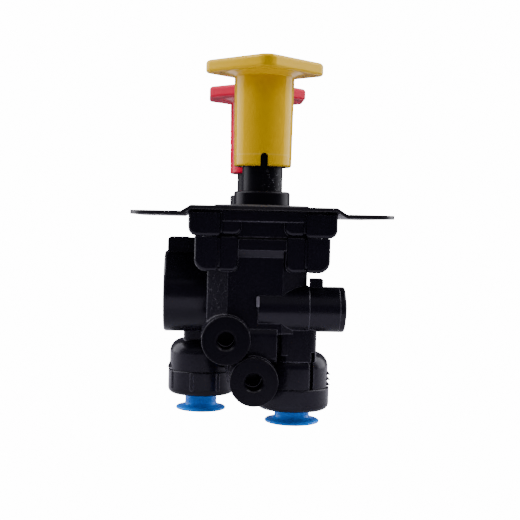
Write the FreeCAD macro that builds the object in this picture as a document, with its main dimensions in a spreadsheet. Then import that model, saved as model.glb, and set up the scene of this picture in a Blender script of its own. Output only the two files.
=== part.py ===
import FreeCAD, Part
import math
import operator
import os
import types

import Sketcher

# Dash control valve with two push-pull knobs, in millimetres.
# The origin is the centre of the mounting plate's panel face. +Z runs along the knobs, out of the panel.
# X runs across the plate, from one pair of slots to the other. The yellow knob is at -Y, the red one at +Y.

SIZES = {
    # Mounting plate
    "plate_width": 100.0,
    "plate_length": 104.0,
    "plate_thickness": 1.5,
    "plate_corner": 9.0,
    "plate_rise": 2.3,
    "raised_width": 54.6,
    "joggle_run": 3.6,
    "pad_radius": 18.2,
    "pad_rise": 0.6,
    "slot_spacing_x": 79.0,
    "slot_spacing_y": 60.0,
    "slot_length": 10.4,
    "slot_width": 6.6,
    # Knobs
    "knob_spacing": 64.0,
    "knob_bottom": 17.8,
    "skirt_radius": 11.6,
    "skirt_draft": 0.5,
    "skirt_mouth_radius": 9.4,
    "skirt_mouth_depth": 4.4,
    "knob_web": 1.6,
    "flange_gusset_radius": 16.0,
    "flange_gusset_drop": 1.3,
    "yellow_height": 40.6,
    "yellow_flange": 4.9,
    "yellow_half_side": 17.4,
    "yellow_corner": 4.6,
    "red_height": 37.8,
    "red_flange": 5.0,
    "red_across_flats": 42.2,
    "red_corner": 2.4,
    "knob_edge": 1.5,
    "notch_width": 2.8,
    "notch_height": 4.9,
    "pin_radius": 1.6,
    "pin_length": 21.2,
    "pin_above_skirt": 12.0,
    # Plungers, guides and spools
    "stem_radius": 7.85,
    "stem_bevel": 0.9,
    "stroke": 9.0,
    "guide_head_radius": 10.9,
    "guide_head_height": 5.4,
    "guide_body_radius": 10.4,
    "guide_edge": 1.0,
    "spool_radius": 9.25,
    "spool_height": 10.8,
    "spool_groove": 2.3,
    "spool_land": 1.7,
    "spigot_radius": 4.0,
    "spigot_length": 3.4,
    "tail_radius": 3.2,
    "tail_length": 8.0,
    "seal_wire": 0.9,
    "seal_gap": 0.03,
    "chamber_floor": -36.0,
    "spring_wire": 0.7,
    "spring_radius": 7.3,
    "spring_turns": 4.0,
    # Fits
    "running_gap": 0.05,
    "seat_gap": 0.02,
    "small_edge": 0.4,
    "joint_overlap": 2.0,
    # Upper cover
    "cover_margin": 0.9,
    "cover_length": 95.0,
    "cover_top": 0.7,
    "cover_shoulder": -0.4,
    "cover_rim": 3.0,
    "cover_bottom": -9.3,
    "cover_pad_inset": 0.8,
    "cover_wall_width": 47.0,
    "cover_wall_length": 89.0,
    "cover_corner": 6.0,
    "cover_boss_inner": 16.0,
    "cover_boss_margin": 0.7,
    "cover_boss_front": 49.0,
    "cover_boss_depth": 11.5,
    "cover_boss_round": 3.2,
    "cover_gusset_inner": 8.2,
    "cover_gusset_front": 47.4,
    "cover_gusset_lift": 0.8,
    "cover_gusset_round": 2.6,
    "cover_side_drop": 5.6,
    "cover_side_start": 29.0,
    "cover_side_step": 2.0,
    "guide_boss_radius": 13.3,
    # Screws and gasket
    "screw_spacing_x": 41.4,
    "screw_spacing_y": 87.0,
    "screw_radius": 2.4,
    "screw_head_radius": 4.6,
    "screw_length": 22.0,
    "screw_recess_radius": 1.7,
    "screw_recess_depth": 1.6,
    "gasket_thickness": 0.8,
    "gasket_margin": 0.3,
    # Body: block, corner bosses and column
    "block_width": 47.0,
    "block_length": 90.8,
    "block_height": 4.1,
    "block_corner": 5.0,
    "boss_outer": 25.6,
    "boss_split": 16.6,
    "boss_inner": 9.2,
    "boss_front": 47.8,
    "boss_step": 1.0,
    "boss_depth": 12.0,
    "boss_drop": 12.3,
    "boss_corner": 4.5,
    "boss_edge": 1.4,
    "boss_groove": 0.2,
    "column_left": 20.4,
    "column_right": 18.0,
    "column_length": 86.8,
    "ledge_drop": 2.7,
    "left_flat": 12.8,
    "right_flat": 8.2,
    "chamfer_depth": 6.4,
    "column_bottom": -46.0,
    "chamber_radius": 9.35,
    # Check valve cylinder, pointing to -X
    "check_y": 4.0,
    "check_z": -33.2,
    "check_radius": 17.0,
    "check_face": -38.4,
    "check_edge": 1.2,
    "check_cap_dimple": 1.5,
    "clip_opening": 4.0,
    "shuttle_edge": 0.5,
    "check_cap_radius": 11.5,
    "check_cap_height": 5.6,
    "check_bore_radius": 7.5,
    "check_bore_end": -19.0,
    "shuttle_length": 7.2,
    "shuttle_waist": 5.0,
    "clip_wire": 1.1,
    "clip_depth": 0.9,
    "clip_setback": 1.1,
    "clip_width": 2.16,
    "key_left": -37.2,
    "key_right": -28.4,
    "key_top": -10.3,
    "key_width": 9.0,
    "key_round": 1.6,
    # Tripper cylinder, pointing to +X
    "tripper_y": -36.0,
    "tripper_z": -36.7,
    "tripper_radius": 8.8,
    "tripper_root_radius": 9.1,
    "tripper_start": -1.0,
    "tripper_root_end": 18.6,
    "tripper_mouth": 30.4,
    "tripper_cap_height": 2.8,
    "tripper_cap_crown": 0.7,
    "tripper_bore_radius": 6.0,
    "tripper_bore_start": 11.6,
    "tripper_piston_length": 5.6,
    "tripper_plug_length": 3.4,
    "tripper_spring_wire": 0.5,
    "tripper_spring_radius": 4.3,
    "tripper_spring_turns": 5.0,
    "tripper_spigot": 2.0,
    "tripper_cap_edge": 0.8,
    "lug_start": 19.2,
    "lug_end": 24.1,
    "lug_top": -24.8,
    "lug_width": 5.0,
    # Downward tube ports for 3/8 inch tube
    "left_port_x": -22.1,
    "left_port_y": 17.0,
    "right_port_x": 14.1,
    "right_port_y": -27.0,
    "port_radius": 13.8,
    "left_port_bottom": -67.8,
    "right_port_bottom": -67.8,
    "left_port_top": -54.6,
    "right_port_top": -54.2,
    "port_dome": 5.6,
    "left_neck_radius": 8.0,
    "right_neck_radius": 7.0,
    "neck_corner": 3.0,
    "right_neck_shift": 1.0,
    "right_neck_reach": 6.5,
    "port_cavity_radius": 9.2,
    "port_cavity_depth": 6.2,
    "port_seal_depth": 3.2,
    "tube_radius": 4.85,
    "tube_seat_depth": 4.0,
    "port_passage_radius": 3.4,
    "port_slot_width": 1.8,
    "port_slot_depth": 2.4,
    "port_slot_turn": 27.0,
    "catch_height": 0.9,
    "catch_width": 6.0,
    "catch_low": 0.6,
    "left_catch_length": 3.5,
    "right_catch_length": 1.9,
    "cap_radius": 14.4,
    "left_cap_height": 10.4,
    "right_cap_height": 8.9,
    "cap_round": 2.6,
    "cap_clearance": 0.3,
    "cap_spigot_length": 3.4,
    "cap_rib": 0.4,
    "cap_rib_width": 1.5,
    "cap_rib_turn": -29.0,
    "cap_mouth_radius": 6.85,
    "cap_mouth_height": 5.6,
    "cap_mouth_round": 0.5,
    "collet_neck_radius": 6.75,
    "collet_lip_radius": 7.7,
    "collet_lip_height": 3.6,
    "collet_flange_radius": 10.9,
    "collet_flange_height": 1.9,
    "collet_rim": 0.7,
    "collet_lip_round": 0.5,
    "collet_flange_slope": 1.5,
    "left_collet_out": 5.5,
    "right_collet_out": 4.0,
    "grab_thickness": 0.45,
    "grab_cone": 1.0,
    "grab_slot": 1.0,
    "tube_seal_wire": 1.5,
    # Front tube ports for 1/4 inch tube
    "upper_port_x": -13.1,
    "upper_port_z": -48.1,
    "upper_port_face": -51.0,
    "upper_port_root": -18.0,
    "lower_port_x": -2.3,
    "lower_port_z": -63.5,
    "lower_port_face": -51.0,
    "lower_port_root": -15.0,
    "front_boss_radius": 9.25,
    "front_flange_radius": 9.1,
    "front_flange_height": 1.0,
    "front_collet_out": 1.9,
    "front_collet_travel": 0.8,
    "small_tube_radius": 3.25,
    "front_collet_radius": 4.4,
    "front_collet_length": 8.8,
    "front_lip_radius": 5.0,
    "front_lip_height": 1.0,
    "front_cavity_radius": 6.6,
    "front_cavity_depth": 11.4,
    "front_sleeve_length": 7.6,
    "front_sleeve_gap": 0.2,
    "front_seal_wire": 1.0,
    "front_seal_depth": 2.2,
    "front_seat_depth": 3.0,
    "front_chamfer": 0.7,
    # Web under the column
    "web_left": -12.0,
    "web_right": 8.8,
    "web_front": -33.0,
    "web_back": 12.0,
    "web_bottom": -66.0,
    "shoulder_left": -4.6,
    "shoulder_right": 6.4,
    "shoulder_front": -44.5,
    "shoulder_top": -42.9,
    "shoulder_depth": 8.0,
    "shoulder_bottom": -57.0,
    "shoulder_round": 4.0,
    # Exhaust port
    "exhaust_x": 8.0,
    "exhaust_y": 27.0,
    "exhaust_radius": 11.4,
    "exhaust_bottom": -60.0,
    "exhaust_cavity_radius": 9.7,
    "exhaust_cavity_depth": 5.6,
    "exhaust_passage_radius": 5.4,
    "exhaust_passage_depth": 9.0,
    "flap_radius": 8.6,
    "flap_thickness": 1.2,
    "exhaust_cover_height": 2.4,
    "exhaust_slot_width": 2.2,
    "exhaust_wall": 1.6,
    "exhaust_floor": 1.2,
    "exhaust_button_radius": 2.0,
    "exhaust_button_step": 0.7,
}

OPERATIONS = {"+": operator.add, "-": operator.sub, "*": operator.mul, "/": operator.truediv}


class Length:
    """A size in millimetres, with the expression on the sheet's cells that gives it."""

    def __init__(self, value, text):
        self.value = float(value)
        self.text = text

    def __add__(self, other):
        return combined(self, "+", other)

    def __radd__(self, other):
        return combined(other, "+", self)

    def __sub__(self, other):
        return combined(self, "-", other)

    def __rsub__(self, other):
        return combined(other, "-", self)

    def __mul__(self, other):
        return combined(self, "*", other)

    def __rmul__(self, other):
        return combined(other, "*", self)

    def __truediv__(self, other):
        return combined(self, "/", other)

    def __neg__(self):
        return combined(0, "-", self)


def as_length(size):
    """The size itself, or a plain number written as a fixed length."""
    if isinstance(size, Length):
        return size
    return Length(size, f"({float(size)})")


def combined(first, sign, second):
    """Two lengths joined by a sign, in value and in expression."""
    first = as_length(first)
    second = as_length(second)
    value = OPERATIONS[sign](first.value, second.value)
    return Length(value, f"({first.text} {sign} {second.text})")


doc = FreeCAD.newDocument("dash_control_valve")
sheet = doc.addObject("Spreadsheet::Sheet", "Sizes")
for row, (name, value) in enumerate(SIZES.items(), start=1):
    sheet.set(f"A{row}", name)
    sheet.set(f"B{row}", str(value))
    sheet.setAlias(f"B{row}", name)
doc.recompute()
size = types.SimpleNamespace(**{name: Length(value, f"Sizes.{name}") for name, value in SIZES.items()})

pieces = []

TURNS = {
    "up": FreeCAD.Vector(0, 0, 1),
    "down": FreeCAD.Vector(0, 0, -1),
    "left": FreeCAD.Vector(-1, 0, 0),
    "right": FreeCAD.Vector(1, 0, 0),
    "front": FreeCAD.Vector(0, -1, 0),
}
TOLERANCE = 1e-4


# Drawing tools

def bind(thing, path, length):
    """Tie one number of an object to the sheet."""
    thing.setExpression(path, as_length(length).text)


def set_place(thing, at, direction="up"):
    """Stand an object at a place, with its own up along a direction."""
    at = [as_length(number) for number in at]
    turn = FreeCAD.Rotation(TURNS["up"], TURNS[direction])
    thing.Placement = FreeCAD.Placement(FreeCAD.Vector(*[number.value for number in at]), turn)
    for letter, number in zip("xyz", at):
        bind(thing, f"Placement.Base.{letter}", number)


def new_piece(name, at=(0, 0, 0), direction="up"):
    """A sub-part of its own, whose label names its file."""
    body = doc.addObject("PartDesign::Body", name)
    body.Label = name
    set_place(body, at, direction)
    pieces.append(body)
    return body


def draw_on(body, plane, offset=0):
    """A sketch on one of the piece's own planes, moved along the plane's normal."""
    drawing = body.newObject("Sketcher::SketchObject", f"{body.Name}_sketch")
    planes = {feature.Role: feature for feature in body.Origin.OriginFeatures}
    drawing.AttachmentSupport = (planes[plane], [""])
    drawing.MapMode = "FlatFace"
    bind(drawing, "AttachmentOffset.Base.z", offset)
    return drawing


def pin_point(drawing, index, end, across, up):
    """Fix a point of a sketch at two lengths from its origin."""
    for kind, axis, length in (("DistanceX", -2, across), ("DistanceY", -1, up)):
        length = as_length(length)
        if length.text == "(0.0)":
            drawing.addConstraint(Sketcher.Constraint("PointOnObject", index, end, axis))
        else:
            constraint = drawing.addConstraint(Sketcher.Constraint(kind, index, end, length.value))
            bind(drawing, f"Constraints[{constraint}]", length)


def set_radius(drawing, index, radius):
    radius = as_length(radius)
    constraint = drawing.addConstraint(Sketcher.Constraint("Radius", index, radius.value))
    bind(drawing, f"Constraints[{constraint}]", radius)


def circle(drawing, across, up, radius):
    centre = FreeCAD.Vector(as_length(across).value, as_length(up).value, 0)
    curve = Part.Circle(centre, TURNS["up"], as_length(radius).value)
    index = drawing.addGeometry(curve)
    pin_point(drawing, index, 3, across, up)
    set_radius(drawing, index, radius)


def arc_between(centre, start, finish):
    """The counter-clockwise arc from one point to another."""
    first = math.atan2(start.y - centre.y, start.x - centre.x)
    last = math.atan2(finish.y - centre.y, finish.x - centre.x)
    if last < first:
        last += 2 * math.pi
    return Part.ArcOfCircle(Part.Circle(centre, TURNS["up"], (start - centre).Length), first, last)


def rounded_corner(before, corner, after, radius):
    """Where a rounding starts and ends, its centre, and whether it turns left."""
    back = (before - corner).normalize()
    ahead = (after - corner).normalize()
    half_angle = back.getAngle(ahead) / 2
    reach = radius / math.tan(half_angle)
    inward = (back + ahead).normalize()
    turns_left = ahead.cross(back).z > 0
    return (
        corner + back * reach,
        corner + ahead * reach,
        corner + inward * (radius / math.sin(half_angle)),
        turns_left,
    )


def outline(drawing, corners):
    """A closed outline. A corner is (across, up), or (across, up, radius) where it is rounded."""
    count = len(corners)
    spots = [FreeCAD.Vector(as_length(c[0]).value, as_length(c[1]).value, 0) for c in corners]
    leave = list(spots)
    reach = list(spots)
    rounds = {}
    for number, corner in enumerate(corners):
        if len(corner) == 3:
            before = spots[number - 1]
            after = spots[(number + 1) % count]
            start, finish, centre, left = rounded_corner(
                before, spots[number], after, as_length(corner[2]).value
            )
            reach[number] = start
            leave[number] = finish
            rounds[number] = (centre, left)
    sides = []
    for number in range(count):
        side = Part.LineSegment(leave[number], reach[(number + 1) % count])
        sides.append(drawing.addGeometry(side))
    for number, corner in enumerate(corners):
        arriving = sides[number - 1]
        leaving = sides[number]
        if number not in rounds:
            drawing.addConstraint(Sketcher.Constraint("Coincident", arriving, 2, leaving, 1))
            pin_point(drawing, leaving, 1, corner[0], corner[1])
            continue
        centre, left = rounds[number]
        if left:
            arc = drawing.addGeometry(arc_between(centre, reach[number], leave[number]))
            first, last = 1, 2
        else:
            arc = drawing.addGeometry(arc_between(centre, leave[number], reach[number]))
            first, last = 2, 1
        drawing.addConstraint(Sketcher.Constraint("Tangent", arriving, 2, arc, first))
        drawing.addConstraint(Sketcher.Constraint("Tangent", arc, last, leaving, 1))
        set_radius(drawing, arc, corner[2])
        mark = drawing.addGeometry(Part.Point(spots[number]), True)
        pin_point(drawing, mark, 1, corner[0], corner[1])
        drawing.addConstraint(Sketcher.Constraint("PointOnObject", mark, 1, arriving))
        drawing.addConstraint(Sketcher.Constraint("PointOnObject", mark, 1, leaving))


def rectangle(drawing, left, right, low, high, radius=None):
    """A rectangle, with its corners rounded where a radius is given."""
    corners = [(left, low), (right, low), (right, high), (left, high)]
    if radius is not None:
        corners = [(across, up, radius) for across, up in corners]
    outline(drawing, corners)


def long_hole(drawing, across, up, length, width):
    """A slot with round ends, along the sketch's first axis."""
    radius = width / 2
    half_run = (length - width) / 2
    ends = []
    for sign in (-1, 1):
        centre = FreeCAD.Vector((across + half_run * sign).value, as_length(up).value, 0)
        side = FreeCAD.Vector(0, radius.value, 0)
        arc = drawing.addGeometry(arc_between(centre, centre + side * -sign, centre + side * sign))
        pin_point(drawing, arc, 3, across + half_run * sign, up)
        set_radius(drawing, arc, radius)
        ends.append((arc, centre))
    side = FreeCAD.Vector(0, radius.value, 0)
    low = drawing.addGeometry(Part.LineSegment(ends[0][1] - side, ends[1][1] - side))
    high = drawing.addGeometry(Part.LineSegment(ends[1][1] + side, ends[0][1] + side))
    left_arc = ends[0][0]
    right_arc = ends[1][0]
    drawing.addConstraint(Sketcher.Constraint("Tangent", low, 1, left_arc, 2))
    drawing.addConstraint(Sketcher.Constraint("Tangent", low, 2, right_arc, 1))
    drawing.addConstraint(Sketcher.Constraint("Tangent", high, 1, right_arc, 2))
    drawing.addConstraint(Sketcher.Constraint("Tangent", high, 2, left_arc, 1))


def new_feature(body, kind, ending):
    """A feature of the piece, its faces left as they are made."""
    feature = body.newObject(f"PartDesign::{kind}", f"{body.Name}_{ending}")
    feature.Refine = False
    return feature


def raise_up(body, drawing, length, flipped=False):
    """Pad a drawing along its normal, or against it."""
    feature = new_feature(body, "Pad", "pad")
    feature.Profile = drawing
    feature.Reversed = flipped
    bind(feature, "Length", length)
    return feature


def cut_down(body, drawing, length, flipped=False, taper=0):
    """Pocket a drawing against its normal, or along it, with walls that close in by an angle."""
    feature = new_feature(body, "Pocket", "pocket")
    feature.Profile = drawing
    feature.Reversed = flipped
    feature.TaperAngle = -taper
    bind(feature, "Length", length)
    return feature


def countersinks(body):
    """The seats of the four plate screws' heads."""
    drawing = draw_on(body, "XY_Plane", raised_top)
    for x, y in screw_places:
        circle(drawing, x, y, size.screw_head_radius + size.running_gap)
    cut_down(body, drawing, screw_head_height, taper=45)


def spin(body, drawing):
    """Revolve a drawing about its upright axis."""
    feature = new_feature(body, "Revolution", "turned")
    feature.Profile = drawing
    feature.ReferenceAxis = (drawing, ["V_Axis"])
    feature.Angle = 360
    return feature


def turn_in(body, kind, plane, at, profile, axis="V_Axis"):
    """Turn a shape onto the piece, or a cavity into it, about an axis of one of its planes.

    On the XZ plane the axis stands upright. On the XY plane it runs along Y, or along X for H_Axis.
    """
    drawing = draw_on(body, plane)
    x, y, z = at
    offset = (x, z, as_length(y) * -1) if plane == "XZ_Plane" else (x, y, z)
    for letter, length in zip("xyz", offset):
        bind(drawing, f"AttachmentOffset.Base.{letter}", length)
    outline(drawing, profile)
    feature = new_feature(body, kind, "turned")
    feature.Profile = drawing
    feature.ReferenceAxis = (drawing, [axis])
    feature.Angle = 360
    return feature


def cylinder(body, kind, radius, start, direction, height):
    """Add or take away a round bar that starts at a place and runs in a direction."""
    feature = new_feature(body, f"{kind}Cylinder", "round")
    bind(feature, "Radius", radius)
    bind(feature, "Height", height)
    set_place(feature, start, direction)
    return feature


def cone(body, kind, low_radius, high_radius, start, direction, height):
    """Add or take away a round taper."""
    feature = new_feature(body, f"{kind}Cone", "taper")
    bind(feature, "Radius1", low_radius)
    bind(feature, "Radius2", high_radius)
    bind(feature, "Height", height)
    set_place(feature, start, direction)
    return feature


def block(body, kind, low, high):
    """Add or take away a box between two corners."""
    feature = new_feature(body, f"{kind}Box", "block")
    for name, first, last in zip(("Length", "Width", "Height"), low, high):
        bind(feature, name, last - first)
    set_place(feature, low)
    return feature


def round_over(body, radius, chosen):
    """Fillet the edges of the piece so far that a test chooses."""
    doc.recompute()
    tip = body.Tip
    names = [f"Edge{i}" for i, edge in enumerate(tip.Shape.Edges, start=1) if chosen(edge)]
    if not names:
        raise ValueError(f"no edge to round on {body.Label}")
    feature = new_feature(body, "Fillet", "fillet")
    feature.Base = (tip, names)
    bind(feature, "Radius", radius)
    return feature


def same(first, second):
    return abs(first - as_length(second).value) < TOLERANCE


def is_circle(edge, axis, at, radius):
    """Whether an edge is a circle of a radius that lies across an axis at a height along it."""
    if edge.Degenerated or not isinstance(edge.Curve, Part.Circle):
        return False
    return same(edge.Curve.Radius, radius) and same(edge.Curve.Center[axis], at)


def lies_at(edge, height, low_x, high_x, low_y, high_y):
    """Whether an edge lies flat at a height, inside a rectangle."""
    box = edge.BoundBox
    return (
        same(box.ZMin, height)
        and same(box.ZMax, height)
        and low_x - TOLERANCE < box.XMin
        and box.XMax < high_x + TOLERANCE
        and low_y - TOLERANCE < box.YMin
        and box.YMax < high_y + TOLERANCE
    )


def stands_at(edge, x, y):
    """Whether an edge stands upright at a point of the plan."""
    box = edge.BoundBox
    return same(box.XMin, x) and same(box.XMax, x) and same(box.YMin, y) and same(box.YMax, y)


def corner_columns(body, across, front_and_depth, heights, rounds, edge):
    """Four columns at the corners of a piece, with rounded feet and a rounded outer face.

    They lie between two distances from the middle across the piece, with a larger rounding at the
    outer corner of the foot than at the inner one.
    """
    inner, outer = across
    front, depth = front_and_depth
    low, high = heights
    outer_round, inner_round = rounds
    back = front - depth
    for j in (-1, 1):
        drawing = draw_on(body, "XZ_Plane", back * -j)
        outline(drawing, [
            (inner, low, inner_round), (outer, low, outer_round), (outer, high), (inner, high)
        ])
        outline(drawing, [
            (-outer, low, outer_round), (-inner, low, inner_round), (-inner, high), (-outer, high)
        ])
        raise_up(body, drawing, depth, flipped=j > 0)

    def on_outer_face(edge_found):
        box = edge_found.BoundBox
        flat = same(box.YMin, front) and same(box.YMax, front)
        flat = flat or (same(box.YMin, -front) and same(box.YMax, -front))
        return flat and box.ZMin < high.value - TOLERANCE

    round_over(body, edge, on_outer_face)


def turned(name, profile, at=(0, 0, 0), direction="up"):
    """A piece turned from a profile of (radius, height) corners about its own upright axis."""
    body = new_piece(name, at, direction)
    drawing = draw_on(body, "XZ_Plane")
    outline(drawing, profile)
    spin(body, drawing)
    return body


def round_seal(name, ring_radius, wire_radius, heights, at=(0, 0, 0), direction="up"):
    """One O-ring, or several alike, about an upright axis."""
    body = new_piece(name, at, direction)
    for height in heights:
        drawing = draw_on(body, "XZ_Plane")
        circle(drawing, ring_radius, height, wire_radius)
        spin(body, drawing)
    return body


def coil_spring(name, coil_radius, wire_radius, turns, height, at=(0, 0, 0), direction="up"):
    """A compression spring whose wire stays inside its stated height."""
    body = new_piece(name, at, direction)
    drawing = draw_on(body, "XZ_Plane")
    circle(drawing, coil_radius, wire_radius, wire_radius)
    feature = new_feature(body, "AdditiveHelix", "coil")
    feature.Profile = drawing
    feature.ReferenceAxis = (drawing, ["V_Axis"])
    feature.Mode = "height-turns-angle"
    bind(feature, "Height", height - wire_radius * 2)
    bind(feature, "Turns", turns)
    return body


# Where the knob axes, screws and slots are

yellow_y = -size.knob_spacing / 2
red_y = size.knob_spacing / 2
knob_axes = {"park": yellow_y, "supply": red_y}
screw_places = [(size.screw_spacing_x / 2 * i, size.screw_spacing_y / 2 * j) for i in (-1, 1) for j in (-1, 1)]
screw_head_height = size.screw_head_radius - size.screw_radius
raised_top = size.plate_rise
pad_top = raised_top + size.pad_rise
body_top = size.cover_bottom - size.gasket_thickness
guide_hole_radius = size.guide_body_radius + size.running_gap


# Mounting plate: one pressed steel sheet, its middle raised to fill the panel's cut-out

plate = new_piece("mounting_plate")
section = draw_on(plate, "XZ_Plane", -size.plate_length / 2)
wing_tip = size.plate_width / 2
rise_start = size.raised_width / 2 + size.joggle_run
rise_end = size.raised_width / 2
under = -size.plate_thickness
outline(section, [
    (-wing_tip, 0),
    (-wing_tip, under),
    (-rise_start, under, size.plate_thickness),
    (-rise_end, under + size.plate_rise, size.plate_thickness),
    (rise_end, under + size.plate_rise, size.plate_thickness),
    (rise_start, under, size.plate_thickness),
    (wing_tip, under),
    (wing_tip, 0),
    (rise_start, 0, size.plate_thickness),
    (rise_end, raised_top, size.plate_thickness),
    (-rise_end, raised_top, size.plate_thickness),
    (-rise_start, 0, size.plate_thickness),
])
raise_up(plate, section, size.plate_length)
wing_corner_x = size.plate_width / 2
wing_corner_y = size.plate_length / 2
round_over(plate, size.plate_corner, lambda edge: any(
    stands_at(edge, wing_corner_x * i, wing_corner_y * j) for i in (-1, 1) for j in (-1, 1)
))
for axis_y in knob_axes.values():
    cone(
        plate, "Additive", size.pad_radius + size.pad_rise, size.pad_radius,
        (0, axis_y, raised_top), "up", size.pad_rise,
    )
holes = draw_on(plate, "XY_Plane", pad_top)
for axis_y in knob_axes.values():
    circle(holes, 0, axis_y, guide_hole_radius)
cut_down(plate, holes, pad_top + size.plate_thickness)
countersinks(plate)
slots = draw_on(plate, "XY_Plane", 0)
for i in (-1, 1):
    for j in (-1, 1):
        long_hole(
            slots, size.slot_spacing_x / 2 * i, size.slot_spacing_y / 2 * j, size.slot_length, size.slot_width
        )
cut_down(plate, slots, size.plate_thickness)


# Upper cover: moulded block under the plate, with a guide boss for each stem and four corner bosses

cover = new_piece("upper_cover")
cover_half_width = size.raised_width / 2 + size.cover_margin
pad_half_width = size.raised_width / 2 - size.cover_pad_inset
cover_boss_outer = size.raised_width / 2 + size.cover_boss_margin
corner_columns(
    cover, (size.cover_boss_inner, cover_boss_outer), (size.cover_boss_front, size.cover_boss_depth),
    (size.cover_bottom + size.running_gap * 2, size.cover_shoulder), (size.cover_boss_round, size.boss_edge),
    size.boss_edge,
)
corner_columns(
    cover, (size.cover_gusset_inner, size.cover_boss_inner - size.boss_groove),
    (size.cover_gusset_front, size.cover_boss_depth),
    (size.cover_bottom + size.cover_gusset_lift, size.cover_shoulder), (size.boss_edge, size.cover_gusset_round),
    size.boss_edge,
)
drawing = draw_on(cover, "XY_Plane", size.cover_bottom)
rectangle(
    drawing, -size.cover_wall_width / 2, size.cover_wall_width / 2,
    -size.cover_wall_length / 2, size.cover_wall_length / 2, size.cover_corner,
)
raise_up(cover, drawing, size.cover_shoulder - size.cover_bottom)
drawing = draw_on(cover, "XY_Plane", size.cover_shoulder - size.cover_rim)
rectangle(
    drawing, -cover_half_width, cover_half_width,
    -size.cover_length / 2, size.cover_length / 2, size.cover_corner,
)
raise_up(cover, drawing, size.cover_rim)
drawing = draw_on(cover, "XY_Plane", size.cover_shoulder)
rectangle(
    drawing, -pad_half_width, pad_half_width,
    -size.cover_length / 2, size.cover_length / 2, size.cover_corner,
)
raise_up(cover, drawing, size.cover_top - size.cover_shoulder)
drawing = draw_on(cover, "XY_Plane", size.cover_bottom)
for axis_y in knob_axes.values():
    circle(drawing, 0, axis_y, size.guide_boss_radius)
raise_up(cover, drawing, size.cover_shoulder - size.cover_bottom)


def four_corners(drawing, near, far):
    """The same rectangle at the four corners of the plan, from a near to a far point."""
    for i in (-1, 1):
        for j in (-1, 1):
            left, right = (near[0], far[0]) if i > 0 else (-far[0], -near[0])
            low, high = (near[1], far[1]) if j > 0 else (-far[1], -near[1])
            rectangle(drawing, left, right, low, high)


drawing = draw_on(cover, "XY_Plane", size.cover_shoulder - size.cover_side_drop)
four_corners(
    drawing, (size.cover_boss_inner + size.cover_side_step, size.cover_side_start),
    (cover_half_width, size.cover_length / 2 - size.cover_corner),
)
raise_up(cover, drawing, size.cover_side_drop)
holes = draw_on(cover, "XY_Plane", size.cover_top)
for axis_y in knob_axes.values():
    circle(holes, 0, axis_y, guide_hole_radius)
for x, y in screw_places:
    circle(holes, x, y, size.screw_radius + size.running_gap)
cut_down(cover, holes, size.cover_top - size.cover_bottom)
countersinks(cover)


# Gasket between cover and body, cut from rubber sheet

gasket_x = size.cover_wall_width / 2 - size.gasket_margin
gasket_y = size.cover_wall_length / 2 - size.gasket_margin
gasket = new_piece("cover_gasket")
drawing = draw_on(gasket, "XY_Plane", body_top)
rectangle(drawing, -gasket_x, gasket_x, -gasket_y, gasket_y)
for axis_y in knob_axes.values():
    circle(drawing, 0, axis_y, size.chamber_radius + size.gasket_margin)
raise_up(gasket, drawing, size.gasket_thickness)
notches = draw_on(gasket, "XY_Plane", size.cover_bottom)
for x, y in screw_places:
    circle(notches, x, y, size.screw_radius + size.gasket_margin * 3)
cut_down(gasket, notches, size.gasket_thickness)


# Plate screws: four countersunk screws with a round recess, grouped in one node

screws = new_piece("plate_screws")
for x, y in screw_places:
    cone(
        screws, "Additive", size.screw_head_radius, size.screw_radius, (x, y, raised_top), "down",
        screw_head_height,
    )
    cylinder(
        screws, "Additive", size.screw_radius, (x, y, raised_top - screw_head_height), "down",
        size.screw_length - screw_head_height,
    )
for x, y in screw_places:
    cylinder(
        screws, "Subtractive", size.screw_recess_radius, (x, y, raised_top), "down", size.screw_recess_depth
    )


# Valve body: one moulding with the spool chambers, the two cylinders and the port bosses

housing = new_piece("valve_body")
boss_low = body_top - size.boss_drop
boss_heights = (boss_low, size.cover_bottom - size.seat_gap)
corner_columns(
    housing, (size.boss_split + size.boss_groove, size.boss_outer), (size.boss_front, size.boss_depth),
    boss_heights, (size.boss_corner, size.boss_edge), size.boss_edge,
)
corner_columns(
    housing, (size.boss_inner, size.boss_split),
    (size.boss_front - size.boss_step, size.boss_depth - size.boss_step),
    boss_heights, (size.boss_edge, size.boss_corner / 2), size.boss_edge,
)

half_length = size.column_length / 2
block_bottom = body_top - size.block_height
drawing = draw_on(housing, "XY_Plane", block_bottom)
rectangle(
    drawing, -size.block_width / 2, size.block_width / 2, -size.block_length / 2, size.block_length / 2,
    size.block_corner,
)
raise_up(housing, drawing, size.block_height)
flat_y = half_length - size.chamfer_depth
drawing = draw_on(housing, "XY_Plane", size.column_bottom)
outline(drawing, [
    (-size.left_flat, -half_length),
    (size.right_flat, -half_length),
    (size.column_right, -flat_y),
    (size.column_right, flat_y),
    (size.right_flat, half_length),
    (-size.left_flat, half_length),
    (-size.column_left, flat_y),
    (-size.column_left, -flat_y),
])
raise_up(housing, drawing, block_bottom - size.column_bottom)
slope = draw_on(housing, "YZ_Plane", -size.left_flat)
for j in (-1, 1):
    outline(slope, [
        (size.block_length / 2 * j, block_bottom),
        (half_length * j, block_bottom - size.ledge_drop),
        ((half_length - 1) * j, block_bottom),
    ])
raise_up(housing, slope, size.left_flat + size.right_flat)

# The check valve's cylinder, with the key block on top of it
turn_in(
    housing, "Revolution", "XY_Plane", (0, size.check_y, size.check_z),
    [
        (-size.left_flat, 0),
        (-size.left_flat, size.check_radius),
        (size.check_face, size.check_radius, size.check_edge),
        (size.check_face, 0),
    ],
    "H_Axis",
)


def rib_on_top(left, right, low, high, middle, width, left_round, right_round):
    """An upright block on a cylinder, rounded at its two upper corners as seen from the front."""
    drawing = draw_on(housing, "XZ_Plane", middle * -1 - width / 2)
    outline(drawing, [(left, low), (right, low), (right, high, right_round), (left, high, left_round)])
    raise_up(housing, drawing, width)


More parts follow.
